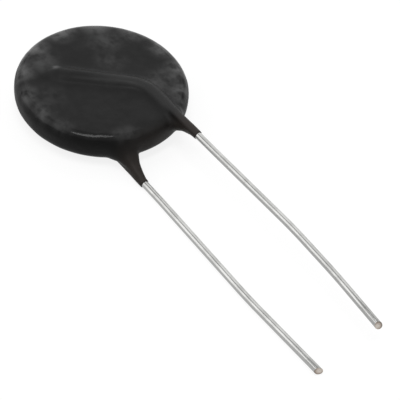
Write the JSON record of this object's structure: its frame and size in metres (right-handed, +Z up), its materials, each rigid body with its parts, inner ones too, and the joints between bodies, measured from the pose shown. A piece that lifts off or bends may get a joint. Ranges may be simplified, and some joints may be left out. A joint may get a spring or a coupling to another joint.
{
  "type": "ntc thermistor",
  "caption": "Round disc thermistor dipped in black resin, with a raised ridge over the wire on each face and two straight tinned copper wires",
  "frame": {"origin": "middle of the bounding box in X and Y, on the surface that the part lies on", "axes": "+X along the wires from the disc to their tips, +Z up along the disc's axis with the front face up, +Y towards the front wire's side"},
  "size_m": [0.0606, 0.0224, 0.0057],
  "materials": {
    "coating": "matt dipped resin",
    "ceramic": "sintered",
    "electrode": "fired silver",
    "solder": "satin",
    "wire": "tinned"
  },
  "bodies": {
    "root": {"coating": "coating", "ceramic_disc": "ceramic", "front_electrode": "electrode", "rear_electrode": "electrode", "front_solder": "solder", "rear_solder": "solder", "front_lead": "wire", "rear_lead": "wire"}
  },
  "joints": []
}
